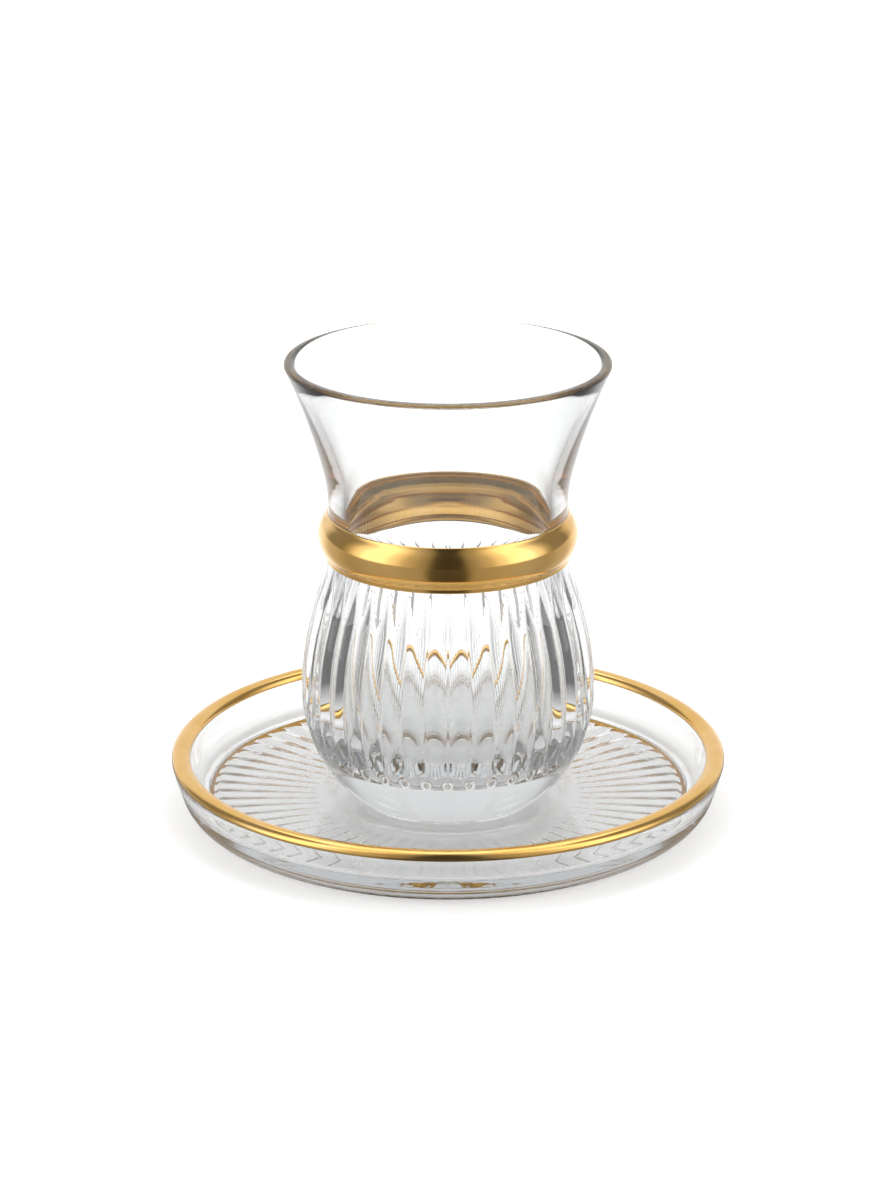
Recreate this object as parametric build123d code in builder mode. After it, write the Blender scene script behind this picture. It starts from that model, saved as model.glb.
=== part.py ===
"""Tulip-shaped tea glass with a gilded waist bead, standing in its gilt-rimmed glass saucer.

Millimetres, +Z up. The origin is the centre of the saucer's standing face, on the axis that
the glass and the saucer share. Profiles are drawn in the XZ plane and turned about Z.
"""

import os
from math import atan2, cos, degrees, dist, radians, sin, sqrt, tan

from build123d import *

# ---------------------------------------------------------------- the saucer's dimensions
saucer_radius = 55.0  # to the outside of the gilt rim
saucer_height = 11.8  # standing face to the crown of the rim
standing_radius = 49.2  # outside of the flat ring that it stands on
standing_width = 1.6
underside_rise = 0.3  # ribbed underside above the standing face
well_floor = 2.3  # height of the floor under the glass
well_radius = 22.3
well_shoulder = 2.7  # width of the slope round the well
well_depth = 0.65
floor_slope = 5.0  # degrees, rising outward
floor_radius = 47.4  # where the floor turns up into the wall
wall_thickness = 3.3
wall_low_radius = 53.2  # outside of the wall at wall_low_height
wall_low_height = 4.2
cove_radius = 2.0
rim_width = 3.65
rim_crown = 1.0  # crown of the rim above its two edges
rim_edge = 0.7  # upright outside edge of the rim below the crown's end
rim_gilt_depth = 1.6  # lower edge of the gilding below the crown
saucer_groove_count = 64
saucer_groove_start = 26.2
saucer_groove_end = 46.6
saucer_groove_depth = 0.3
saucer_groove_angle = 4.2  # degrees of the circle that one groove takes
groove_clearance = 1.0  # of a groove's cutter below the saucer

# ---------------------------------------------------------------- the glass's dimensions
glass_height = 89.0
lip_radius = 31.9
lip_wall = 2.2
lip_round = 0.8
neck_radius = 23.4
neck_land = 1.0  # upright neck between the bead and the flare
neck_curve = 32.0  # radius of the first part of the flare
neck_opening = 14.0  # degrees off upright where the flare turns straighter
neck_wall = 3.2
belly_radius = 29.0
belly_low = 22.0  # above the foot: the belly is upright between these two
belly_high = 24.5
belly_wall = 3.4
shoulder_radius = 27.25  # where the belly's curve turns into the cone under the bead
shoulder_height = 37.6
foot_radius = 19.3
foot_bevel = 0.9
punt_radius = 14.0  # hollow under the foot
punt_depth = 0.8
base_thickness = 9.5
inner_corner = 12.0
inner_blend = 34.0
bead_height = 54.2  # above the foot, at the widest point of the bead
bead_radius = 25.4
bead_curve = 5.5
bead_top_fillet = 1.5
bead_low_fillet = 1.2
under_bead_radius = 23.8
gilt_over = 0.2  # gilding above the bead
gilt_under = 0.6  # gilding below the bead
gilt_thickness = 0.25
flute_count = 40
flute_depth = 0.6
flute_width = 3.7
flute_crown = 0.06  # roundness of a flute's two sides
flute_drop = 5.3  # full depth reaches this far below the upright of the belly
flute_run_out = 6.5  # straight end of a flute below that
flute_release = 3.0  # degrees short of the shoulder, where a flute starts to run out
flute_gap = 1.1  # between the gilding and the cutters' upper ends
flute_clearance = 1.5  # cutters reach this far outside the glass
mouth_clearance = 1.0  # the cavity is drawn this far past the lip
fillet_share = 0.95  # of the straight stretch beside it that a rounding may take

# ---------------------------------------------------------------- values worked out
foot = well_floor  # the glass stands on the floor of the well


def upright_arc(start, end):
    """Centre and radius of the arc that leaves start upright, bulges outward and meets end."""
    inward, along = start[0] - end[0], end[1] - start[1]
    radius = (inward**2 + along**2) / (2 * inward)
    return (start[0] - radius, start[1]), radius


def on_circle(center, radius, angle):
    """Point of a circle in the profile plane; the angle is in degrees from +X."""
    return (center[0] + radius * cos(radians(angle)), center[1] + radius * sin(radians(angle)))


def end_lean(start, end, lean):
    """Degrees off upright at the end of an arc that leaves start at a lean and meets end."""
    return 2 * degrees(atan2(end[0] - start[0], end[1] - start[1])) - lean


# belly: two arcs with an upright stretch between them, then a cone up to the bead
foot_corner = (foot_radius, foot + foot_bevel)
shoulder = (shoulder_radius, foot + shoulder_height)
belly_bottom = (belly_radius, foot + belly_low)
belly_top = (belly_radius, foot + belly_high)
lower_center, lower_curve = upright_arc(belly_bottom, foot_corner)
upper_center, upper_curve = upright_arc(belly_top, shoulder)
shoulder_angle = degrees(atan2(shoulder[1] - upper_center[1], shoulder[0] - upper_center[0]))

# bead: where its curve meets the cone below and the neck above
bead_center = (bead_radius - bead_curve, foot + bead_height)
bead_fall = sqrt(bead_curve**2 - (under_bead_radius - bead_center[0]) ** 2)
bead_rise = sqrt(bead_curve**2 - (neck_radius - bead_center[0]) ** 2)
bead_low = (under_bead_radius, bead_center[1] - bead_fall)
bead_high = (neck_radius, bead_center[1] + bead_rise)

# flare: a short arc that opens the neck, then a flatter one up to the lip
neck_center = (neck_radius + neck_curve, bead_high[1] + neck_land)
flare_start = on_circle(neck_center, neck_curve, 180 - neck_opening)
flare_direction = (sin(radians(neck_opening)), cos(radians(neck_opening)))
lip_height = foot + glass_height
lip_edge = (lip_radius, lip_height)
inner_lip_edge = (lip_radius - lip_wall, lip_height)

# inside of the glass
inner_belly = belly_radius - belly_wall
inner_shoulder = on_circle(upper_center, upper_curve - belly_wall, shoulder_angle)
inner_neck = neck_radius - neck_wall
inner_flare_start = on_circle(neck_center, neck_curve + neck_wall, 180 - neck_opening)
inner_waist = (inner_neck, bead_low[1])
inner_floor = foot + base_thickness

# roundings, each no larger than the straight stretches beside it leave room for
bead_step = bead_curve - (neck_radius - bead_center[0])
bead_top_room = neck_land * (neck_land + 2 * bead_rise) / (2 * bead_step)
bead_top_rounding = min(bead_top_fillet, fillet_share * bead_top_room)
waist_turn = atan2(inner_shoulder[0] - inner_neck, inner_waist[1] - inner_shoulder[1])
waist_reach = min(neck_center[1] - inner_waist[1], dist(inner_shoulder, inner_waist))
waist_rounding = min(inner_blend, fillet_share * waist_reach / tan(abs(waist_turn) / 2))
outer_lip_angle = radians(90 - end_lean(flare_start, lip_edge, neck_opening))
inner_lip_angle = radians(90 + end_lean(inner_flare_start, inner_lip_edge, neck_opening))
lip_reach = 1 / tan(outer_lip_angle / 2) + 1 / tan(inner_lip_angle / 2)
lip_rounding = min(lip_round, fillet_share * lip_wall / lip_reach)

# gilding on the bead
gilt_low = bead_low[1] - gilt_under
gilt_high = bead_high[1] + gilt_over


def nearest_corner(sketch, point):
    """The corner of a profile that lies at a point of it."""
    return sketch.vertices().sort_by_distance((point[0], point[1], 0))[0]


# ---------------------------------------------------------------- profiles of the glass
with BuildSketch(Plane.XZ) as glass_outline:
    with BuildLine():
        Line((0, foot), (foot_radius - foot_bevel, foot))
        Line((foot_radius - foot_bevel, foot), foot_corner)
        TangentArc(belly_bottom, foot_corner, tangent=(0, -1))
        Line(belly_bottom, belly_top)
        TangentArc(belly_top, shoulder, tangent=(0, 1))
        Line(shoulder, bead_low)
        ThreePointArc(bead_low, (bead_radius, bead_center[1]), bead_high)
        Line(bead_high, (neck_radius, neck_center[1]))
        TangentArc((neck_radius, neck_center[1]), flare_start, tangent=(0, 1))
        TangentArc(flare_start, lip_edge, tangent=flare_direction)
        Line(lip_edge, (0, lip_height))
        Line((0, lip_height), (0, foot))
    make_face()
    fillet(nearest_corner(glass_outline, bead_low), bead_low_fillet)
    fillet(nearest_corner(glass_outline, bead_high), bead_top_rounding)

with BuildSketch(Plane.XZ) as glass_cavity:
    with BuildLine():
        Line((0, inner_floor), (inner_belly - inner_corner, inner_floor))
        TangentArc(
            (inner_belly - inner_corner, inner_floor),
            (inner_belly, inner_floor + inner_corner),
            tangent=(1, 0),
        )
        Line((inner_belly, inner_floor + inner_corner), (inner_belly, belly_top[1]))
        TangentArc((inner_belly, belly_top[1]), inner_shoulder, tangent=(0, 1))
        Line(inner_shoulder, inner_waist)
        Line(inner_waist, (inner_neck, neck_center[1]))
        TangentArc((inner_neck, neck_center[1]), inner_flare_start, tangent=(0, 1))
        TangentArc(inner_flare_start, inner_lip_edge, tangent=flare_direction)
        Line(inner_lip_edge, (inner_lip_edge[0], lip_height + mouth_clearance))
        Line((inner_lip_edge[0], lip_height + mouth_clearance), (0, lip_height + mouth_clearance))
        Line((0, lip_height + mouth_clearance), (0, inner_floor))
    make_face()
    fillet(nearest_corner(glass_cavity, inner_waist), waist_rounding)

with BuildSketch(Plane.XZ) as bead_gilding:
    add(glass_outline.sketch_local)
    offset(glass_outline.sketch_local, amount=-gilt_thickness, mode=Mode.SUBTRACT)
    with Locations((inner_neck + saucer_radius / 2, (gilt_low + gilt_high) / 2)):
        Rectangle(saucer_radius, gilt_high - gilt_low, mode=Mode.INTERSECT)

with BuildSketch(Plane.XZ) as glass_section:
    add(glass_outline.sketch_local)
    add(glass_cavity.sketch_local, mode=Mode.SUBTRACT)
    add(bead_gilding.sketch_local, mode=Mode.SUBTRACT)
    with BuildLine():
        ThreePointArc((-punt_radius, foot), (0, foot + punt_depth), (punt_radius, foot))
        Line((punt_radius, foot), (-punt_radius, foot))
    make_face(mode=Mode.SUBTRACT)
    lip_corners = glass_section.vertices().group_by(Axis.Y)[-1]
    fillet(lip_corners, lip_rounding)


# ---------------------------------------------------------------- the flutes' cutter
# Its valley runs parallel to the belly, and leaves it in a straight line at each end.
valley_low_angle = -degrees(atan2(flute_drop, sqrt((lower_curve - flute_depth) ** 2 - flute_drop**2)))
valley_high_angle = shoulder_angle - flute_release
valley_low = on_circle(lower_center, lower_curve - flute_depth, valley_low_angle)
valley_high = on_circle(upper_center, upper_curve - flute_depth, valley_high_angle)
valley_start = (
    valley_low[0] + flute_run_out * sin(radians(valley_low_angle)),
    valley_low[1] - flute_run_out * cos(radians(valley_low_angle)),
)
valley_climb = gilt_low - flute_gap - valley_high[1]
valley_end = (
    valley_high[0] - valley_climb * tan(radians(valley_high_angle)),
    valley_high[1] + valley_climb,
)
section_plane = Plane(
    origin=(valley_start[0], 0, valley_start[1]),
    x_dir=(0, -1, 0),
    z_dir=(-sin(radians(valley_low_angle)), 0, cos(radians(valley_low_angle))),
)

with BuildPart() as flute_cutter:
    with BuildLine(Plane.XZ) as flute_path:
        Line(valley_start, valley_low)
        TangentArc(
            (belly_radius - flute_depth, belly_bottom[1]),
            valley_low,
            tangent=(0, -1),
        )
        Line((belly_radius - flute_depth, belly_bottom[1]), (belly_radius - flute_depth, belly_top[1]))
        TangentArc((belly_radius - flute_depth, belly_top[1]), valley_high, tangent=(0, 1))
        Line(valley_high, valley_end)
    with BuildSketch(section_plane):
        with BuildLine():
            half = flute_width / 2
            side = Vector(half, flute_depth).rotate(Axis.Z, 90).normalized() * flute_crown
            crown = Vector(half / 2, flute_depth / 2) - side
            ThreePointArc((0, 0), (crown.X, crown.Y), (half, flute_depth))
            Line((half, flute_depth), (half, flute_depth + flute_clearance))
            Line((half, flute_depth + flute_clearance), (-half, flute_depth + flute_clearance))
            Line((-half, flute_depth + flute_clearance), (-half, flute_depth))
            ThreePointArc((-half, flute_depth), (-crown.X, crown.Y), (0, 0))
        make_face()
    sweep(path=flute_path.wire())


# ---------------------------------------------------------------- the glass and its gilding
with BuildPart() as glass:
    with BuildSketch(Plane.XZ):
        add(glass_section.sketch_local)
    revolve(axis=Axis.Z)
    with PolarLocations(0, flute_count):
        add(flute_cutter.part, mode=Mode.SUBTRACT)

with BuildPart() as gilt_band:
    with BuildSketch(Plane.XZ):
        add(bead_gilding.sketch_local)
    revolve(axis=Axis.Z)


# ---------------------------------------------------------------- profile of the saucer
rim_edge_height = saucer_height - rim_crown
rim_inner_radius = saucer_radius - rim_width
rim_middle = (saucer_radius - rim_width / 2, saucer_height)
wall_high = (saucer_radius, rim_edge_height - rim_edge)
wall_low = (wall_low_radius, wall_low_height)
wall_direction = Vector(wall_high[0] - wall_low[0], wall_high[1] - wall_low[1]).normalized()
shoulder_out = (well_radius + well_shoulder, well_floor + well_depth)
floor_high = (
    floor_radius,
    shoulder_out[1] + (floor_radius - shoulder_out[0]) * tan(radians(floor_slope)),
)
wall_inner_foot = (wall_low_radius - wall_thickness, floor_high[1])

with BuildSketch(Plane.XZ) as saucer_outline:
    with BuildLine():
        Line((0, underside_rise), (standing_radius - standing_width - underside_rise, underside_rise))
        Line(
            (standing_radius - standing_width - underside_rise, underside_rise),
            (standing_radius - standing_width, 0),
        )
        Line((standing_radius - standing_width, 0), (standing_radius, 0))
        TangentArc(
            wall_low,
            (standing_radius, 0),
            tangent=(-wall_direction.X, -wall_direction.Y),
        )
        Line(wall_low, wall_high)
        Line(wall_high, (saucer_radius, rim_edge_height))
        ThreePointArc((saucer_radius, rim_edge_height), rim_middle, (rim_inner_radius, rim_edge_height))
        Line((rim_inner_radius, rim_edge_height), wall_inner_foot)
        Line(wall_inner_foot, floor_high)
        Line(floor_high, shoulder_out)
        Line(shoulder_out, (well_radius, well_floor))
        Line((well_radius, well_floor), (0, well_floor))
        Line((0, well_floor), (0, underside_rise))
    make_face()
    fillet(nearest_corner(saucer_outline, wall_inner_foot), cove_radius)

with BuildSketch(Plane.XZ) as rim_gilding:
    add(saucer_outline.sketch_local)
    offset(saucer_outline.sketch_local, amount=-gilt_thickness, mode=Mode.SUBTRACT)
    with Locations((saucer_radius, saucer_height)):
        Rectangle(2 * (rim_width + gilt_thickness), 2 * rim_gilt_depth, mode=Mode.INTERSECT)

with BuildSketch(Plane.XZ) as saucer_section:
    add(saucer_outline.sketch_local)
    add(rim_gilding.sketch_local, mode=Mode.SUBTRACT)


# ---------------------------------------------------------------- the saucer and its gilding
with BuildPart() as groove_cutter:
    for groove_radius in (saucer_groove_start, saucer_groove_end):
        with BuildSketch(Plane.YZ.offset(groove_radius)):
            groove_half = groove_radius * tan(radians(saucer_groove_angle / 2))
            groove_cut = saucer_groove_depth * groove_radius / saucer_groove_end
            with BuildLine():
                ThreePointArc(
                    (-groove_half, underside_rise),
                    (0, underside_rise + groove_cut),
                    (groove_half, underside_rise),
                )
                Polyline(
                    (groove_half, underside_rise),
                    (groove_half, -groove_clearance),
                    (-groove_half, -groove_clearance),
                    (-groove_half, underside_rise),
                )
            make_face()
    loft()

with BuildPart() as saucer:
    with BuildSketch(Plane.XZ):
        add(saucer_section.sketch_local)
    revolve(axis=Axis.Z)
    with PolarLocations(0, saucer_groove_count):
        add(groove_cutter.part, mode=Mode.SUBTRACT)

with BuildPart() as gilt_rim:
    with BuildSketch(Plane.XZ):
        add(rim_gilding.sketch_local)
    revolve(axis=Axis.Z)


# ---------------------------------------------------------------- one file for each piece
glass.part.label = "glass"
gilt_band.part.label = "gilt_band"
saucer.part.label = "saucer"
gilt_rim.part.label = "gilt_rim"

os.makedirs("parts", exist_ok=True)
export_step(glass.part, "parts/glass.step")
export_step(gilt_band.part, "parts/gilt_band.step")
export_step(saucer.part, "parts/saucer.step")
export_step(gilt_rim.part, "parts/gilt_rim.step")
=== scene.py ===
"""Looks of a waisted tea glass on its saucer: clear glass, cut flutes and polished gilding."""

from math import atan2, cos, hypot, pi, radians, sin, tan

import bpy
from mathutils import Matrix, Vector


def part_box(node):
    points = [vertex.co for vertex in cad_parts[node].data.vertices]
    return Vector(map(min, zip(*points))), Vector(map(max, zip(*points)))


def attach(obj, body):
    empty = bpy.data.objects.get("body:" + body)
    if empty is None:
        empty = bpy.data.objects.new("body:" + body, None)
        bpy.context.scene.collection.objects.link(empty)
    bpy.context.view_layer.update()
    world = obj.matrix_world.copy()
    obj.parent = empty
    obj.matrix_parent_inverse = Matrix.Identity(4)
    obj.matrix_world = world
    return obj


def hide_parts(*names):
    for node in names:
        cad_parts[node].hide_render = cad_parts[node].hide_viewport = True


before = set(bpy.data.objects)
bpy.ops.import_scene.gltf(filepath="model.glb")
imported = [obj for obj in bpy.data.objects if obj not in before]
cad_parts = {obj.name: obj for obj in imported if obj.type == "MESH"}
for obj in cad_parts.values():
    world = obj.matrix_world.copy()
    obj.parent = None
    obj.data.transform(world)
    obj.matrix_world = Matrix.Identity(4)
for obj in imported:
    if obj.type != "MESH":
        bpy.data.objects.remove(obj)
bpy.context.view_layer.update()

bl_info = {
    "name": "Waisted Tea Glass",
    "version": (1, 0, 0),
    "blender": (4, 5, 0),
    "location": "View3D > Sidebar > Tea Glass",
    "description": "Builds a fluted, gilded tea glass and its cut-glass saucer",
    "category": "Add Mesh",
}

MM = 0.001
SAME_POINT = 0.002 * MM  # points nearer than this are merged
STRAIGHT = 1e-6  # an arc that turns less than this is a line
GLASS_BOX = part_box("glass")
SAUCER_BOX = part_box("saucer")
RIM_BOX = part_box("gilt_rim")

FOOT = GLASS_BOX[0][2]  # the height at which the glass stands
LIP = GLASS_BOX[1][2]
SAUCER_RADIUS = RIM_BOX[1][0]
SAUCER_TOP = RIM_BOX[1][2]


# ---------------------------------------------------------------- sizes and colours
def length(name, description, default):
    """A size in metres that a user may change."""
    return bpy.props.FloatProperty(name=name, description=description, default=default, unit="LENGTH")


def colour(name, description, default):
    """A colour that a user may change."""
    return bpy.props.FloatVectorProperty(
        name=name, description=description, default=default, subtype="COLOR", size=3, min=0, max=1
    )


class TeaGlassSizes(bpy.types.PropertyGroup):
    """Sizes of the drinking glass."""

    lip_radius: length("Lip radius", "Where the flare meets the lip", 31.9 * MM)
    lip_wall: length("Lip wall", "Thickness at the lip", 2.2 * MM)
    lip_round: length("Lip rounding", "Radius along both edges of the lip", 0.8 * MM)
    neck_radius: length("Neck radius", "Narrowest place above the bead", 23.4 * MM)
    neck_wall: length("Neck wall", "Thickness at the neck", 3.2 * MM)
    flare_wall: length("Flare wall", "Thickness where the flare starts", 2.9 * MM)
    neck_curve: length("Neck curve", "Radius of the bend from neck to flare", 32.0 * MM)
    neck_opening: bpy.props.FloatProperty(
        name="Neck opening",
        description="Lean of the flare where it starts",
        default=radians(14),
        unit="ROTATION",
    )
    bead_radius: length("Bead radius", "Widest place of the gilded bead", 25.4 * MM)
    bead_curve: length("Bead curve", "Radius of the bead's section", 5.5 * MM)
    bead_middle: length("Bead middle", "Height of the bead above the foot", 54.2 * MM)
    under_bead: length("Under the bead", "Radius where the belly meets the bead", 23.8 * MM)
    shoulder_radius: length("Shoulder radius", "Where the belly turns straight", 27.25 * MM)
    shoulder_height: length("Shoulder height", "Above the foot", 37.6 * MM)
    belly_radius: length("Belly radius", "Widest place of the belly", 29.0 * MM)
    belly_low: length("Belly low", "Lower end of the upright belly above the foot", 22.0 * MM)
    belly_high: length("Belly high", "Upper end of the upright belly above the foot", 24.5 * MM)
    belly_wall: length("Belly wall", "Thickness at the belly", 3.4 * MM)
    foot_radius: length("Foot radius", "Outer edge of the foot", 19.3 * MM)
    foot_bevel: length("Foot bevel", "Bevel around the foot", 0.9 * MM)
    punt_radius: length("Punt radius", "Hollow under the foot", 14.0 * MM)
    punt_depth: length("Punt depth", "Depth of the hollow under the foot", 0.8 * MM)
    base_thickness: length("Base thickness", "Glass below the bowl's floor", 9.5 * MM)
    bowl_corner: length("Bowl corner", "Radius around the bowl's floor", 12.0 * MM)
    seat_gap: length("Seat gap", "Air between the foot and the saucer", 0.03 * MM)
    flute_count: bpy.props.IntProperty(name="Flutes", description="Flutes around the belly", default=40)
    flute_depth: length("Flute depth", "Depth of a flute", 1.05 * MM)
    flute_foot: length("Flute foot", "Lowest point of a flute above the foot", 10.9 * MM)
    flute_end: length("Flute end", "Length of a flute's rounded lower end", 2.6 * MM)
    flute_full: length("Flute full", "Where a flute starts to run out, above the foot", 41.0 * MM)
    flute_tip: length("Flute tip", "Upper tip of a flute above the foot", 48.6 * MM)


class SaucerSizes(bpy.types.PropertyGroup):
    """Sizes of the saucer."""

    standing_radius: length("Standing radius", "Outer edge of the standing ring", 49.2 * MM)
    standing_width: length("Standing width", "Width of the standing ring", 1.6 * MM)
    underside_rise: length("Underside rise", "Hollow under the saucer", 0.3 * MM)
    well_radius: length("Well radius", "Flat place for the glass", 22.3 * MM)
    well_shoulder: length("Well shoulder", "Width of the step around the well", 2.7 * MM)
    well_depth: length("Well depth", "Height of the step around the well", 0.65 * MM)
    floor_slope: bpy.props.FloatProperty(
        name="Floor slope", description="Rise of the floor", default=radians(5), unit="ROTATION"
    )
    floor_radius: length("Floor radius", "Outer edge of the floor", 47.4 * MM)
    wall_low_radius: length("Wall low radius", "Outer wall at its lower end", 53.2 * MM)
    wall_low_height: length("Wall low height", "Lower end of the outer wall", 4.2 * MM)
    wall_thickness: length("Wall thickness", "Glass of the wall at its foot", 3.3 * MM)
    cove: length("Cove", "Radius between floor and wall", 2.0 * MM)
    rim_width: length("Rim width", "Width of the gilded rim", 3.65 * MM)
    rim_crown: length("Rim crown", "Height of the crown of the rim", 1.0 * MM)
    rim_edge: length("Rim edge", "Upright edge under the crown", 0.7 * MM)
    rim_gilt: length("Rim gilding", "How far the gilding comes down", 1.6 * MM)
    groove_count: bpy.props.IntProperty(name="Grooves", description="Cuts under the saucer", default=64)
    groove_start: length("Groove start", "Inner end of the cuts", 26.2 * MM)
    groove_end: length("Groove end", "Outer end of the cuts", 46.6 * MM)
    groove_depth: length("Groove depth", "Depth of the cuts at the outer end", 0.28 * MM)
    groove_angle: bpy.props.FloatProperty(
        name="Groove angle",
        description="Part of the circle that a cut takes",
        default=radians(4.2),
        unit="ROTATION",
    )


class TeaGlassColours(bpy.types.PropertyGroup):
    """Colours of the glass, the gilding and the stage."""

    glass: colour("Glass", "Tint of the clear glass", (0.985, 0.99, 0.99))
    gold: colour("Gold", "Polished gilding", (0.8, 0.47, 0.13))
    gold_pale: colour("Pale gold", "Worn and thin places of the gilding", (0.88, 0.58, 0.23))
    floor: colour("Floor", "Plain pale floor", (0.93, 0.93, 0.93))


# ---------------------------------------------------------------- outlines
class Outline:
    """A section drawn from point to point, in metres, as (radius, height), with a heading for arcs."""

    def __init__(self, start, heading=(1, 0)):
        self.points = [Vector(start)]
        self.heading = Vector(heading).normalized()

    def line(self, end, steps=1):
        """A straight stretch."""
        start = self.points[-1]
        run = Vector(end) - start
        self.points += [start + run * (step / steps) for step in range(1, steps + 1)]
        self.heading = run.normalized()

    def arc(self, end, steps):
        """A round stretch that leaves along the heading."""
        start = self.points[-1].copy()
        chord = Vector(end) - start
        half_turn = atan2(self.heading.x * chord.y - self.heading.y * chord.x, self.heading.dot(chord))
        for step in range(1, steps + 1):
            turn = half_turn * step / steps
            share = sin(turn) / sin(half_turn) if abs(half_turn) > STRAIGHT else step / steps
            reach = chord.length * share
            self.points.append(start + turned(self.heading, turn) * reach)
        self.heading = turned(self.heading, 2 * half_turn)

    def corner(self, at, radius, onward, steps=4, run_steps=1):
        """A straight stretch to a rounded corner, which then heads for another point."""
        come = (Vector(at) - self.points[-1]).normalized()
        leave = (Vector(onward) - Vector(at)).normalized()
        turn = abs(atan2(come.x * leave.y - come.y * leave.x, come.dot(leave)))
        cut = radius * tan(turn / 2)
        self.line(Vector(at) - come * cut, run_steps)
        self.arc(Vector(at) + leave * cut, steps)


def turned(vector, angle):
    """A flat vector turned by an angle."""
    across = vector.x * cos(angle) - vector.y * sin(angle)
    up = vector.x * sin(angle) + vector.y * cos(angle)
    return Vector((across, up))


def on_circle(centre, radius, angle):
    """A point on a circle."""
    return Vector((centre[0] + radius * cos(angle), centre[1] + radius * sin(angle)))


def upright_arc_centre(upright, other):
    """Centre and radius of the arc that leaves the first point upright and passes through the other."""
    across = upright[0] - other[0]
    along = other[1] - upright[1]
    radius = (across**2 + along**2) / (2 * across)
    return (upright[0] - radius, upright[1]), radius


# ---------------------------------------------------------------- modelling with operators
def deselect():
    """Nothing selected and object mode, before a new piece is added."""
    if bpy.context.object and bpy.context.object.mode != "OBJECT":
        bpy.ops.object.mode_set(mode="OBJECT")
    bpy.ops.object.select_all(action="DESELECT")


def spun(name, points, steps):
    """A skin made by drawing an outline and spinning it once around the upright axis."""
    deselect()
    start = Vector((points[0].x, 0, points[0].y))
    bpy.ops.mesh.primitive_plane_add(size=MM, location=(0, 0, 0))
    piece = bpy.context.object
    piece.name = name
    bpy.ops.object.mode_set(mode="EDIT")
    bpy.ops.mesh.merge(type="CENTER")
    bpy.ops.transform.translate(value=start)
    for before, after in zip(points, points[1:]):
        step = after - before
        bpy.ops.mesh.extrude_region_move(TRANSFORM_OT_translate={"value": (step.x, 0, step.y)})
    bpy.ops.mesh.select_all(action="SELECT")
    bpy.ops.mesh.spin(steps=steps, angle=2 * pi, center=(0, 0, 0), axis=(0, 0, 1))
    bpy.ops.mesh.select_all(action="SELECT")
    bpy.ops.mesh.remove_doubles(threshold=SAME_POINT)
    bpy.ops.object.mode_set(mode="OBJECT")
    return piece


def joined(name, pieces):
    """Several skins made one closed piece that faces outwards."""
    deselect()
    for piece in pieces:
        piece.select_set(True)
    bpy.context.view_layer.objects.active = pieces[0]
    if len(pieces) > 1:
        bpy.ops.object.join()
    whole = bpy.context.object
    whole.name = name
    bpy.ops.object.mode_set(mode="EDIT")
    bpy.ops.mesh.select_all(action="SELECT")
    bpy.ops.mesh.remove_doubles(threshold=SAME_POINT)
    bpy.ops.mesh.normals_make_consistent(inside=False)
    bpy.ops.object.mode_set(mode="OBJECT")
    bpy.ops.object.shade_smooth()
    bpy.ops.object.transform_apply(location=True, rotation=True, scale=True)
    return whole


# ---------------------------------------------------------------- materials
def new_material(name):
    """A material with a Principled shader, and its nodes and links."""
    material = bpy.data.materials.new(name)
    material.use_nodes = True
    nodes = material.node_tree.nodes
    return material, nodes, material.node_tree.links, nodes["Principled BSDF"]


def object_noise(nodes, links, scale, detail, stretch=(1, 1, 1)):
    """Noise over a piece's own coordinates."""
    place = nodes.new("ShaderNodeTexCoord")
    mapping = nodes.new("ShaderNodeMapping")
    mapping.inputs["Scale"].default_value = stretch
    noise = nodes.new("ShaderNodeTexNoise")
    noise.inputs["Scale"].default_value = scale
    noise.inputs["Detail"].default_value = detail
    links.new(place.outputs["Object"], mapping.inputs["Vector"])
    links.new(mapping.outputs["Vector"], noise.inputs["Vector"])
    return noise


def add_bump(nodes, links, shader, noise, strength, depth):
    """Fine relief from a noise."""
    bump = nodes.new("ShaderNodeBump")
    bump.inputs["Strength"].default_value = strength
    bump.inputs["Distance"].default_value = depth
    links.new(noise.outputs["Fac"], bump.inputs["Height"])
    links.new(bump.outputs["Normal"], shader.inputs["Normal"])


GLASS_IOR = 1.52
GLASS_BODY = (0.5, 0.53, 0.55)  # thick glass goes a cool grey
GLASS_DENSITY = 11.0  # for one metre of it
WAVE_SCALE = 60
WAVE_STRETCH = (1, 1, 0.5)
WAVE_STRENGTH = 0.25
WAVE_DEPTH = 0.02 * MM


def glass_material(name, tint):
    """Clear pressed glass: a faint tint, and the slow waves that pressing leaves in its surface."""
    material, nodes, links, shader = new_material(name)
    shader.inputs["Base Color"].default_value = (*tint, 1)
    shader.inputs["Transmission Weight"].default_value = 1.0
    shader.inputs["Roughness"].default_value = 0.0
    shader.inputs["IOR"].default_value = GLASS_IOR
    absorb = nodes.new("ShaderNodeVolumeAbsorption")
    absorb.inputs["Color"].default_value = (*GLASS_BODY, 1)
    absorb.inputs["Density"].default_value = GLASS_DENSITY
    links.new(absorb.outputs["Volume"], nodes["Material Output"].inputs["Volume"])
    waves = object_noise(nodes, links, WAVE_SCALE, 1, WAVE_STRETCH)
    add_bump(nodes, links, shader, waves, WAVE_STRENGTH, WAVE_DEPTH)
    return material


GOLD_TONE_SCALE = 90
GOLD_TONE_PLACES = (0.35, 0.75)  # where the noise gives the full and the pale gold
GOLD_POLISH_SCALE = 160
GOLD_POLISH_STRETCH = (1, 1, 6)  # the marks run around the piece
GOLD_ROUGHNESS = (0.08, 0.2)
GOLD_MARK_STRENGTH = 0.15
GOLD_MARK_DEPTH = 0.02 * MM


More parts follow.
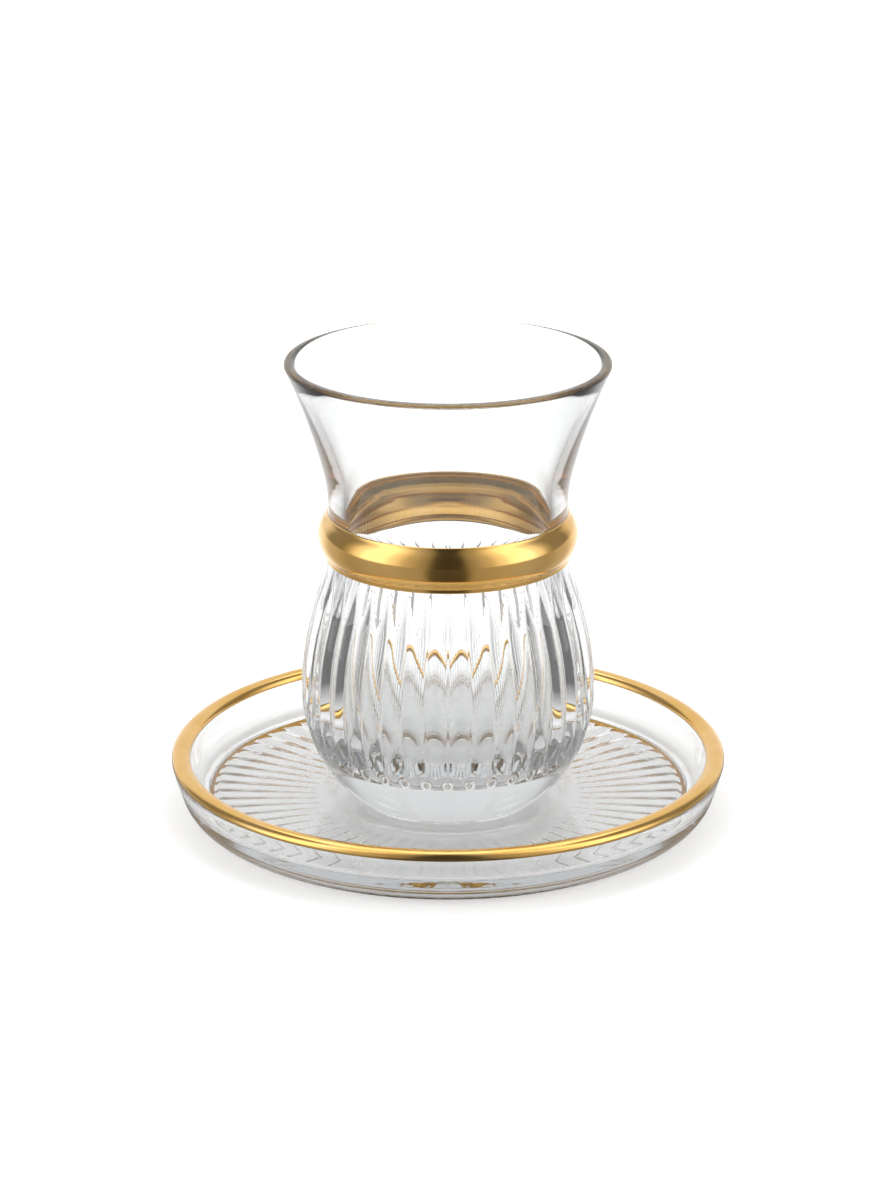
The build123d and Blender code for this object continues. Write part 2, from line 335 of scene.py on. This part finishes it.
def gold_material(name, gold, pale):
    """Burnished gilding: slight change of tone, and brush marks that run around the piece."""
    material, nodes, links, shader = new_material(name)
    tone = object_noise(nodes, links, GOLD_TONE_SCALE, 3)
    ramp = nodes.new("ShaderNodeValToRGB")
    for element, place, shade in zip(ramp.color_ramp.elements, GOLD_TONE_PLACES, (gold, pale)):
        element.position = place
        element.color = (*shade, 1)
    links.new(tone.outputs["Fac"], ramp.inputs["Fac"])
    links.new(ramp.outputs["Color"], shader.inputs["Base Color"])
    shader.inputs["Metallic"].default_value = 1.0
    polish = object_noise(nodes, links, GOLD_POLISH_SCALE, 4, GOLD_POLISH_STRETCH)
    spread = nodes.new("ShaderNodeMapRange")
    spread.inputs["To Min"].default_value = GOLD_ROUGHNESS[0]
    spread.inputs["To Max"].default_value = GOLD_ROUGHNESS[1]
    links.new(polish.outputs["Fac"], spread.inputs["Value"])
    links.new(spread.outputs["Result"], shader.inputs["Roughness"])
    add_bump(nodes, links, shader, polish, GOLD_MARK_STRENGTH, GOLD_MARK_DEPTH)
    return material


def wear(piece, material, slot, *nodes):
    """Gives a piece its material and its place on the frame, and hides the CAD nodes that it stands for."""
    piece.data.materials.clear()
    piece.data.materials.append(material)
    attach(piece, "root")
    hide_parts(*nodes)


# ---------------------------------------------------------------- the glass
NECK_LAND = 1.0 * MM  # upright neck between the bead and the flare
GILT_OVER = 0.2 * MM  # gilding above the bead
GILT_THICKNESS = 0.25 * MM
GILT_PROUD = 0.03 * MM  # the bead's gilding stands this far out of the glass
BEAD_CUT = 0.7 * MM  # length that the rounding takes off each end of the bead
WAIST_BLEND = 34.0 * MM  # radius inside the waist
SPIN_PER_FLUTE = 12
PUNT_EDGE = (0.3 * MM, 0.04 * MM)  # soft edge of the hollow under the foot
FOOT_ROUND = 0.5 * MM
LIP_REACH_OUTSIDE = 1.2  # lengths of its radius that the lip's rounding takes of each wall
LIP_REACH_INSIDE = 0.8
BEAD_STEPS = 18
BAND_SPIN = 240


def glass_marks(sizes):
    """The places that the glass's outer and inner skins share."""
    marks = {}
    marks["bead_centre"] = (sizes.bead_radius - sizes.bead_curve, FOOT + sizes.bead_middle)
    reach_low = sizes.under_bead - marks["bead_centre"][0]
    reach_high = sizes.neck_radius - marks["bead_centre"][0]
    marks["bead_low_angle"] = -atan2((sizes.bead_curve**2 - reach_low**2) ** 0.5, reach_low)
    marks["bead_high_angle"] = atan2((sizes.bead_curve**2 - reach_high**2) ** 0.5, reach_high)
    marks["bead_low"] = on_circle(marks["bead_centre"], sizes.bead_curve, marks["bead_low_angle"])
    marks["bead_high"] = on_circle(marks["bead_centre"], sizes.bead_curve, marks["bead_high_angle"])
    marks["shoulder"] = Vector((sizes.shoulder_radius, FOOT + sizes.shoulder_height))
    marks["belly_bottom"] = Vector((sizes.belly_radius, FOOT + sizes.belly_low))
    marks["belly_top"] = Vector((sizes.belly_radius, FOOT + sizes.belly_high))
    marks["upper_centre"], marks["upper_radius"] = upright_arc_centre(marks["belly_top"], marks["shoulder"])
    rise = marks["shoulder"].y - marks["belly_top"].y
    marks["shoulder_angle"] = atan2(rise, marks["shoulder"].x - marks["upper_centre"][0])
    marks["neck_height"] = marks["bead_high"].y + NECK_LAND
    marks["neck_centre"] = (sizes.neck_radius + sizes.neck_curve, marks["neck_height"])
    return marks


def bead_foot(marks, inset):
    """Where the bead starts on the belly, at a depth below the surface."""
    lean = (marks["bead_low"] - marks["shoulder"]).normalized()
    out = Vector((lean.y, -lean.x))
    return marks["bead_low"] - out * inset - lean * BEAD_CUT, lean


def draw_bead(outline, sizes, marks, inset):
    """The bead's part of the outer outline, at a depth below its surface, from the belly up to the neck."""
    radius = sizes.bead_curve - inset
    trim = BEAD_CUT / sizes.bead_curve
    first = marks["bead_low_angle"] + trim
    last = marks["bead_high_angle"] - trim
    outline.arc(on_circle(marks["bead_centre"], radius, first), 5)
    for step in range(1, BEAD_STEPS + 1):
        angle = first + (last - first) * step / BEAD_STEPS
        outline.points.append(on_circle(marks["bead_centre"], radius, angle))
    outline.heading = turned(Vector((cos(last), sin(last))), pi / 2)
    outline.arc((sizes.neck_radius - inset, marks["bead_high"].y + BEAD_CUT), 5)


def outer_outline(sizes, marks):
    """The outer skin of the glass, from the middle of the punt to the lip."""
    bottom = FOOT + sizes.seat_gap
    bevel = sizes.foot_bevel
    foot_corner = Vector((sizes.foot_radius, FOOT + bevel))
    outline = Outline((0, bottom + sizes.punt_depth))
    outline.arc((sizes.punt_radius - PUNT_EDGE[0], bottom + PUNT_EDGE[1]), 10)
    outline.line((sizes.punt_radius, bottom), 1)
    outline.corner((sizes.foot_radius - bevel, bottom), FOOT_ROUND, foot_corner, 4, 2)
    outline.line(foot_corner)
    centre, radius = upright_arc_centre(marks["belly_bottom"], foot_corner)
    outline.heading = turned((foot_corner - Vector(centre)).normalized(), pi / 2)
    outline.arc(marks["belly_bottom"], 50)
    outline.line(marks["belly_top"], 3)
    outline.arc(marks["shoulder"], 12)
    outline.line(bead_foot(marks, 0.0)[0], 20)
    draw_bead(outline, sizes, marks, 0.0)
    outline.line((sizes.neck_radius, marks["neck_height"]), 1)
    outline.heading = Vector((0, 1))
    opening = sizes.neck_opening
    outline.arc(on_circle(marks["neck_centre"], sizes.neck_curve, pi - opening), 7)
    lip_slope = Vector((sizes.lip_radius, LIP)) - outline.points[-1]
    lip_start = lip_slope.normalized() * sizes.lip_round * LIP_REACH_OUTSIDE
    outline.arc(Vector((sizes.lip_radius, LIP)) - lip_start, 12)
    middle = sizes.lip_radius - sizes.lip_wall / 2
    outline.arc((middle, LIP), 8)
    return outline


def inner_outline(sizes, marks):
    """The inner skin of the glass, from the middle of the bowl's floor to the lip."""
    floor = FOOT + sizes.base_thickness
    belly = sizes.belly_radius - sizes.belly_wall
    neck = sizes.neck_radius - sizes.neck_wall
    outline = Outline((0, floor))
    outline.line((belly - sizes.bowl_corner, floor), 3)
    outline.arc((belly, floor + sizes.bowl_corner), 12)
    outline.line((belly, marks["belly_top"].y), 1)
    outline.heading = Vector((0, 1))
    inner_radius = marks["upper_radius"] - sizes.belly_wall
    outline.arc(on_circle(marks["upper_centre"], inner_radius, marks["shoulder_angle"]), 6)
    neck_top = (neck, marks["neck_height"])
    outline.corner((neck, marks["bead_low"].y), WAIST_BLEND, neck_top, 6)
    outline.line(neck_top, 1)
    outline.heading = Vector((0, 1))
    opening = sizes.neck_opening
    bend = sizes.neck_curve + sizes.flare_wall
    outline.arc(on_circle(marks["neck_centre"], bend, pi - opening), 5)
    lip_edge = Vector((sizes.lip_radius - sizes.lip_wall, LIP))
    slope = (lip_edge - outline.points[-1]).normalized()
    outline.arc(lip_edge - slope * sizes.lip_round * LIP_REACH_INSIDE, 7)
    outline.arc((sizes.lip_radius - sizes.lip_wall / 2, LIP), 5)
    return outline


def cut_flutes(skin, sizes):
    """Presses the flutes into the belly: rounded below, running out to a point above."""
    pitch = 2 * pi / sizes.flute_count
    low = FOOT + sizes.flute_foot
    end = low + sizes.flute_end
    full = FOOT + sizes.flute_full
    tip = FOOT + sizes.flute_tip
    half_width = sizes.belly_radius * pitch / 2
    for vertex in skin.data.vertices:
        x, y, z = vertex.co
        if not low < z < tip:
            continue
        radius = hypot(x, y)
        deepest = sizes.flute_depth
        if z < end:
            deepest *= (1 - ((end - z) / sizes.flute_end) ** 2) ** 0.5
        elif z > full:
            deepest *= (tip - z) / (tip - full)
        angle = atan2(y, x) / pitch
        across = min(abs(angle - round(angle)) * pitch * radius / half_width, 1)
        rise = sizes.flute_depth * (1 - (1 - across) ** 2)
        cut = max(0, deepest - rise)
        vertex.co.x -= x / radius * cut
        vertex.co.y -= y / radius * cut


class TeaGlassBody(bpy.types.Operator):
    """Model the clear glass with its flutes"""

    bl_idname = "mesh.tea_glass_body"
    bl_label = "Glass"

    def execute(self, context):
        sizes = context.scene.tea_glass
        marks = glass_marks(sizes)
        steps = sizes.flute_count * SPIN_PER_FLUTE
        outer = spun("outer", outer_outline(sizes, marks).points, steps)
        cut_flutes(outer, sizes)
        inner = spun("inner", inner_outline(sizes, marks).points, steps)
        body = joined("glass_body", [outer, inner])
        tint = context.scene.tea_colours.glass
        wear(body, glass_material("clear glass", tint), "clear_glass", "glass")
        return {"FINISHED"}


class TeaGlassGilding(bpy.types.Operator):
    """Model the gilding on the bead"""

    bl_idname = "mesh.tea_glass_gilding"
    bl_label = "Gilded bead"

    def execute(self, context):
        sizes = context.scene.tea_glass
        marks = glass_marks(sizes)
        top = marks["bead_high"].y + GILT_OVER
        sides = []
        for inset in (-GILT_PROUD, GILT_THICKNESS):
            side = Outline(*bead_foot(marks, inset))
            draw_bead(side, sizes, marks, inset)
            sides.append([point for point in side.points if point.y < top])
        ring = sides[0] + sides[1][::-1] + sides[0][:1]
        band = joined("gilded_bead", [spun("gilding", ring, BAND_SPIN)])
        colours = context.scene.tea_colours
        wear(band, gold_material("bead gilding", colours.gold, colours.gold_pale), "gilding", "gilt_band")
        return {"FINISHED"}


# ---------------------------------------------------------------- the saucer
GROOVE_RUN_IN = 5.0 * MM  # length over which a cut reaches its depth
GROOVE_END_ROUND = 1.8 * MM  # length of a cut's rounded outer end
GILT_SINK = 0.1 * MM  # the saucer's own glass lies this far under the outer face of the gilding
SPIN_PER_GROOVE = 10
CUT_EDGE = 0.02 * MM  # half of the narrow step at each end of the cuts
CUT_TOLERANCE = 0.01 * MM  # points this little above the underside are still cut
STAND_EDGE = (0.2 * MM, 0.02 * MM)  # soft edge of the standing ring
RIM_TUCK = 0.02 * MM  # lower outer edge of the rim's gilding inside the rim's radius
RIM_PROUD = 0.05 * MM  # lower inner edge of the rim's gilding past the rim's width
FLOOR_ROUND = 2.0 * MM  # radius of the soft edges of the saucer's floor and well
CROWN_DROP = 0.25 * MM  # short upright at each end of the rim's crown
RIM_SPIN = 320


def saucer_marks(sizes):
    """The corners of the saucer's section that its skins share."""
    marks = {}
    marks["edge"] = SAUCER_TOP - sizes.rim_crown
    marks["wall_high"] = Vector((SAUCER_RADIUS, marks["edge"] - sizes.rim_edge))
    marks["wall_low"] = Vector((sizes.wall_low_radius, sizes.wall_low_height))
    marks["rim_inner"] = Vector((SAUCER_RADIUS - sizes.rim_width, marks["edge"]))
    marks["step_out"] = Vector((sizes.well_radius + sizes.well_shoulder, FOOT + sizes.well_depth))
    climb = (sizes.floor_radius - marks["step_out"].x) * tan(sizes.floor_slope)
    marks["floor_out"] = Vector((sizes.floor_radius, marks["step_out"].y + climb))
    marks["wall_foot"] = Vector((sizes.wall_low_radius - sizes.wall_thickness, marks["floor_out"].y))
    return marks


def draw_rim(outline, marks, inset, steps=12):
    """The crown of the rim from its outer edge to its inner edge, at a depth below its surface."""
    outer = Vector((SAUCER_RADIUS - inset, marks["edge"]))
    inner = marks["rim_inner"] + Vector((inset, 0))
    crown = SAUCER_TOP - marks["edge"] - inset
    half = (outer.x - inner.x) / 2
    radius = (half**2 + crown**2) / (2 * crown)
    centre = (outer.x - half, marks["edge"] + crown - radius)
    spread = atan2(half, radius - crown)
    outline.line(on_circle(centre, radius, pi / 2 - spread) - Vector((0, CROWN_DROP)))
    for step in range(1, steps):
        angle = pi / 2 - spread + 2 * spread * step / steps
        outline.points.append(on_circle(centre, radius, angle))
    outline.points.append(on_circle(centre, radius, pi / 2 + spread) - Vector((0, CROWN_DROP)))


def cut_grooves(skin, sizes):
    """Cuts the tapered grooves into the underside."""
    pitch = 2 * pi / sizes.groove_count
    top = sizes.underside_rise + CUT_TOLERANCE
    for vertex in skin.data.vertices:
        x, y, z = vertex.co
        radius = hypot(x, y)
        if z > top or not sizes.groove_start < radius < sizes.groove_end:
            continue
        angle = atan2(y, x) / pitch
        off = abs(angle - round(angle)) * pitch / (sizes.groove_angle / 2)
        depth = sizes.groove_depth * radius / sizes.groove_end
        depth *= min(1, (radius - sizes.groove_start) / GROOVE_RUN_IN)
        near_end = (sizes.groove_end - radius) / GROOVE_END_ROUND
        if near_end < 1:
            depth *= (1 - (1 - near_end) ** 2) ** 0.5
        vertex.co.z += max(0, depth - sizes.groove_depth * radius / sizes.groove_end * off**2)


class TeaSaucer(bpy.types.Operator):
    """Model the saucer with the cuts under it"""

    bl_idname = "mesh.tea_saucer"
    bl_label = "Saucer"

    def execute(self, context):
        sizes = context.scene.tea_saucer
        marks = saucer_marks(sizes)
        inner_stand = sizes.standing_radius - sizes.standing_width
        rise = sizes.underside_rise
        under = Outline((0, rise))
        under.line((sizes.groove_start - CUT_EDGE, rise), 3)
        under.line((sizes.groove_start + CUT_EDGE, rise), 1)
        under.line((sizes.groove_end - GROOVE_END_ROUND, rise), 6)
        under.line((sizes.groove_end - CUT_EDGE, rise), 8)
        under.line((sizes.groove_end + CUT_EDGE, rise), 1)
        under.line((inner_stand - rise, rise), 1)
        under.line((inner_stand, 0), 2)
        under.line((sizes.standing_radius - STAND_EDGE[0], 0), 2)
        under.line((sizes.standing_radius, STAND_EDGE[1]), 1)
        wall = (marks["wall_high"] - marks["wall_low"]).normalized()
        back = Outline(marks["wall_low"], -wall)
        back.arc(under.points[-1], 12)
        under.points += back.points[-2::-1]
        under.line(marks["wall_high"], 4)
        draw_rim(under, marks, GILT_SINK)
        under.corner(marks["wall_foot"], sizes.cove, marks["floor_out"], 8, 4)
        under.corner(marks["floor_out"], FLOOR_ROUND, marks["step_out"], 3)
        well_edge = Vector((sizes.well_radius, FOOT))
        under.corner(marks["step_out"], FLOOR_ROUND, well_edge, 4, 8)
        under.corner(well_edge, FLOOR_ROUND, (0, FOOT), 4)
        under.line((0, FOOT), 3)
        steps = sizes.groove_count * SPIN_PER_GROOVE
        skin = spun("saucer skin", under.points, steps)
        cut_grooves(skin, sizes)
        saucer = joined("saucer_body", [skin])
        tint = context.scene.tea_colours.glass
        wear(saucer, glass_material("saucer glass", tint), "saucer_glass", "saucer")
        return {"FINISHED"}


class TeaSaucerGilding(bpy.types.Operator):
    """Model the gilding on the saucer's rim"""

    bl_idname = "mesh.tea_saucer_gilding"
    bl_label = "Gilded rim"

    def execute(self, context):
        sizes = context.scene.tea_saucer
        marks = saucer_marks(sizes)
        low = SAUCER_TOP - sizes.rim_gilt
        outer = Outline((SAUCER_RADIUS - RIM_TUCK, low))
        draw_rim(outer, marks, 0.0, 16)
        outer.line((marks["rim_inner"].x - RIM_PROUD, low))
        inner = Outline((SAUCER_RADIUS - GILT_THICKNESS, low))
        draw_rim(inner, marks, GILT_THICKNESS, 16)
        inner.line((marks["rim_inner"].x + GILT_THICKNESS, low))
        ring = outer.points + inner.points[::-1] + [outer.points[0]]
        rim = joined("gilded_rim", [spun("rim gilding", ring, RIM_SPIN)])
        colours = context.scene.tea_colours
        wear(rim, gold_material("rim gilding", colours.gold, colours.gold_pale), "gilding", "gilt_rim")
        return {"FINISHED"}


# ---------------------------------------------------------------- stage
# painted shade on the floor, seen only in the gilding and through the glass: how bright the floor is
# painted around the object for glossy and transmission rays, from the front (0) to the back (1)
FLOOR_SHADE_PAINTED_FOR_METAL = ((0.0, 0.07), (0.07, 0.08), (0.13, 0.35), (0.3, 0.4), (0.5, 0.35), (0.65, 0.5), (0.8, 1.0))
FLOOR_SHADE_PAINTED_FOR_GLASS = ((0.0, 0.6), (0.3, 0.45), (0.45, 0.15), (0.66, 0.1), (0.78, 0.75), (0.86, 1.0))
FLOOR_LIFT = 0.38  # glow added to the floor that lifts it towards white; where metal and glass see the floor it is dimmed with the painted shade
FLOOR_NEAR = 0.06  # seen through glass, the floor has no painted shade this near to the axis
FLOOR_FAR = 0.11  # beyond this, glass sees the full painted shade
FLOOR_ROUGHNESS = 0.9
FLOOR_GLOSS = 0.1


def floor_material(tint):
    """A pale floor that keeps shadows and that the camera sees plain; for metal and glass it is painted
    darker at the front and sides than at the back, a painted reflection of darker surroundings.
    """
    material, nodes, links, shader = new_material("pale floor")
    shader.inputs["Roughness"].default_value = FLOOR_ROUGHNESS
    shader.inputs["Specular IOR Level"].default_value = FLOOR_GLOSS
    shader.inputs["Emission Color"].default_value = (1, 1, 1, 1)
    place = nodes.new("ShaderNodeTexCoord")
    around = around_of(nodes, links, place.outputs["Object"])
    reach = nodes.new("ShaderNodeVectorMath")
    reach.operation = "LENGTH"
    links.new(place.outputs["Object"], reach.inputs[0])
    far = nodes.new("ShaderNodeMapRange")
    far.inputs["From Min"].default_value = FLOOR_NEAR
    far.inputs["From Max"].default_value = FLOOR_FAR
    links.new(reach.outputs["Value"], far.inputs["Value"])
    path = nodes.new("ShaderNodeLightPath")
    through = path.outputs["Is Transmission Ray"]
    mirrored = combine(
        nodes, links, "MULTIPLY",
        path.outputs["Is Glossy Ray"], combine(nodes, links, "SUBTRACT", 1.0, through),
    )
    # painted shade: the floor's colour and glow are darkened around the object for glossy and transmission
    # rays only
    level = 1.0
    through_far = combine(nodes, links, "MULTIPLY", through, far.outputs["Result"])
    for rays, stops in ((mirrored, FLOOR_SHADE_PAINTED_FOR_METAL), (through_far, FLOOR_SHADE_PAINTED_FOR_GLASS)):
        painted_darkening = combine(nodes, links, "SUBTRACT", 1.0, ramp_of(nodes, links, around, stops))
        level = combine(nodes, links, "SUBTRACT", level, combine(nodes, links, "MULTIPLY", rays, painted_darkening))
    paint = nodes.new("ShaderNodeVectorMath")
    paint.operation = "SCALE"
    paint.inputs[0].default_value = tint
    links.new(level, paint.inputs["Scale"])
    links.new(paint.outputs["Vector"], shader.inputs["Base Color"])
    seen = combine(nodes, links, "MAXIMUM", path.outputs["Is Camera Ray"], path.outputs["Is Glossy Ray"])
    seen = combine(nodes, links, "MAXIMUM", seen, through)
    # the glow carries the same painted shade where metal and glass see the floor
    glow = combine(nodes, links, "MULTIPLY", level, FLOOR_LIFT)
    links.new(combine(nodes, links, "MULTIPLY", glow, seen), shader.inputs["Emission Strength"])
    return material


def around_of(nodes, links, place):
    """How far around the object a place is, from the front (0) to the back (1)."""
    parts = nodes.new("ShaderNodeSeparateXYZ")
    links.new(place, parts.inputs["Vector"])
    side = combine(nodes, links, "ABSOLUTE", parts.outputs["X"], 0)
    front = combine(nodes, links, "MULTIPLY", parts.outputs["Y"], -1)
    return combine(nodes, links, "MULTIPLY", combine(nodes, links, "ARCTAN2", side, front), 1 / pi)


def ramp_of(nodes, links, source, stops):
    """A brightness that changes along a value from 0 to 1."""
    ramp = nodes.new("ShaderNodeValToRGB")
    ramp.color_ramp.interpolation = "EASE"
    elements = ramp.color_ramp.elements
    while len(elements) < len(stops):
        elements.new(0.5)
    for element, (place, level) in zip(elements, stops):
        element.position = place
        element.color = (level, level, level, 1)
    links.new(source, ramp.inputs["Fac"])
    return ramp.outputs["Color"]


def combine(nodes, links, operation, first, second):
    """Two values, or one and a number, combined by one step of arithmetic."""
    node = nodes.new("ShaderNodeMath")
    node.operation = operation
    for socket, value in zip(node.inputs, (first, second)):
        if isinstance(value, (int, float)):
            socket.default_value = value
        else:
            links.new(value, socket)
    return node.outputs[0]


# brightness around the object, from the front (0) to the back (1), and from the horizon (0) up (1)
FRONT_AROUND = (
    (0.0, 0.06), (0.06, 0.07), (0.12, 0.4), (0.2, 0.65), (0.27, 1.2),
    (0.33, 2.0), (0.42, 2.1), (0.49, 1.2), (0.55, 0.5), (0.61, 0.0),
)
FRONT_UP = ((0.0, 1.0), (0.5, 1.0), (0.72, 0.8), (1.0, 0.5))
BACK_AROUND = ((0.66, 0.0), (0.8, 1.0), (1.0, 1.0))
BACK_UP = ((0.0, 1.0), (0.45, 0.95), (0.75, 0.5), (1.0, 0.6))
ROOM_LEVEL = 0.3  # between the screens and the backdrop
ROOM_AROUND = ((0.05, 0.2), (0.15, 1.0))  # the room is darkest right at the front
ROOM_IN_GLASS = 0.12  # the least that shows through glass
SCREENS_IN_GLASS = 0.45  # share of the screens that shows through glass


def studio_world(scene):
    """A pale backdrop, two large soft screens at the front, and darker gaps between them."""
    world = bpy.data.worlds.new("studio")
    world.use_nodes = True
    scene.world = world
    nodes = world.node_tree.nodes
    links = world.node_tree.links
    background = nodes["Background"]
    place = nodes.new("ShaderNodeTexCoord")
    around = around_of(nodes, links, place.outputs["Generated"])
    parts = nodes.new("ShaderNodeSeparateXYZ")
    links.new(place.outputs["Generated"], parts.inputs["Vector"])
    height = combine(nodes, links, "ARCSINE", parts.outputs["Z"], 0)
    up = combine(nodes, links, "MULTIPLY", height, 2 / pi)
    screens = combine(
        nodes, links, "MULTIPLY",
        ramp_of(nodes, links, around, FRONT_AROUND), ramp_of(nodes, links, up, FRONT_UP),
    )
    path = nodes.new("ShaderNodeLightPath")
    through = path.outputs["Is Transmission Ray"]
    hidden = combine(nodes, links, "MULTIPLY", through, 1 - SCREENS_IN_GLASS)
    screens = combine(nodes, links, "MULTIPLY", screens, combine(nodes, links, "SUBTRACT", 1.0, hidden))
    backdrop = combine(
        nodes, links, "MULTIPLY",
        ramp_of(nodes, links, around, BACK_AROUND), ramp_of(nodes, links, up, BACK_UP),
    )
    room = combine(nodes, links, "MULTIPLY", ramp_of(nodes, links, around, ROOM_AROUND), ROOM_LEVEL)
    least = combine(nodes, links, "MULTIPLY", through, ROOM_IN_GLASS)
    studio = screens
    for other in (backdrop, room, least, path.outputs["Is Camera Ray"]):
        studio = combine(nodes, links, "MAXIMUM", studio, other)
    links.new(studio, background.inputs["Color"])
    background.inputs["Strength"].default_value = 1.0


def softbox(name, place, target, width, depth, power):
    """A soft rectangular lamp that faces a point."""
    lamp = bpy.data.lights.new(name, "AREA")
    lamp.shape = "RECTANGLE"
    lamp.size = width
    lamp.size_y = depth
    lamp.energy = power
    holder = bpy.data.objects.new(name, lamp)
    bpy.context.scene.collection.objects.link(holder)
    holder.location = place
    holder.rotation_euler = (Vector(target) - Vector(place)).to_track_quat("-Z", "Y").to_euler()


FLOOR_SIZE = 2.8
MIDDLE = (0, 0, 0.05)
SOFTBOX_PLACE = (0, 0.3, 0.95)
SOFTBOX_SIZE = (0.9, 0.6)
SOFTBOX_POWER = 2.4
CAMERA_PLACE = (0, -0.6688, 0.2764)
CAMERA_AIM = (0, 0, 0.0429)
CAMERA_LENS = 108.5
CAMERA_SENSOR = 36
GLASS_BOUNCES = 20  # light turns many times inside thick glass


class TeaGlassStage(bpy.types.Operator):
    """Set up the floor, the soft light and the camera"""

    bl_idname = "object.tea_glass_stage"
    bl_label = "Stage"

    def execute(self, context):
        scene = context.scene
        deselect()
        bpy.ops.mesh.primitive_plane_add(size=FLOOR_SIZE, location=(0, 0, SAUCER_BOX[0][2]))
        floor = context.object
        floor.name = "floor"
        bpy.ops.object.transform_apply(location=True, rotation=True, scale=True)
        floor.data.materials.append(floor_material(scene.tea_colours.floor))
        studio_world(scene)
        softbox("top softbox", SOFTBOX_PLACE, MIDDLE, *SOFTBOX_SIZE, SOFTBOX_POWER)
        lens = bpy.data.cameras.new("camera")
        lens.lens = CAMERA_LENS
        lens.sensor_width = CAMERA_SENSOR
        camera = bpy.data.objects.new("camera", lens)
        scene.collection.objects.link(camera)
        camera.location = CAMERA_PLACE
        aim = Vector(CAMERA_AIM) - camera.location
        camera.rotation_euler = aim.to_track_quat("-Z", "Y").to_euler()
        scene.camera = camera
        scene.view_settings.view_transform = "Standard"
        scene.cycles.max_bounces = GLASS_BOUNCES
        scene.cycles.transmission_bounces = GLASS_BOUNCES
        scene.cycles.glossy_bounces = GLASS_BOUNCES
        return {"FINISHED"}


class TeaGlassPanel(bpy.types.Panel):
    """Sizes and pieces of the tea glass"""

    bl_idname = "VIEW3D_PT_tea_glass"
    bl_label = "Tea Glass"
    bl_space_type = "VIEW_3D"
    bl_region_type = "UI"
    bl_category = "Tea Glass"

    def draw(self, context):
        scene = context.scene
        for group in (scene.tea_glass, scene.tea_saucer, scene.tea_colours):
            box = self.layout.box()
            for name in group.bl_rna.properties.keys():
                if name not in ("rna_type", "name"):
                    box.prop(group, name)
        for operator in OPERATORS:
            self.layout.operator(operator.bl_idname)


OPERATORS = (TeaGlassBody, TeaGlassGilding, TeaSaucer, TeaSaucerGilding, TeaGlassStage)
GROUPS = {"tea_glass": TeaGlassSizes, "tea_saucer": SaucerSizes, "tea_colours": TeaGlassColours}


def register():
    for group in GROUPS.values():
        bpy.utils.register_class(group)
    for name, group in GROUPS.items():
        setattr(bpy.types.Scene, name, bpy.props.PointerProperty(type=group))
    for operator in OPERATORS:
        bpy.utils.register_class(operator)
    bpy.utils.register_class(TeaGlassPanel)


def unregister():
    bpy.utils.unregister_class(TeaGlassPanel)
    for operator in reversed(OPERATORS):
        bpy.utils.unregister_class(operator)
    for name in GROUPS:
        delattr(bpy.types.Scene, name)
    for group in reversed(GROUPS.values()):
        bpy.utils.unregister_class(group)


def main():
    register()
    bpy.ops.mesh.tea_glass_body()
    bpy.ops.mesh.tea_glass_gilding()
    bpy.ops.mesh.tea_saucer()
    bpy.ops.mesh.tea_saucer_gilding()
    bpy.ops.object.tea_glass_stage()


if __name__ == "__main__":
    main()
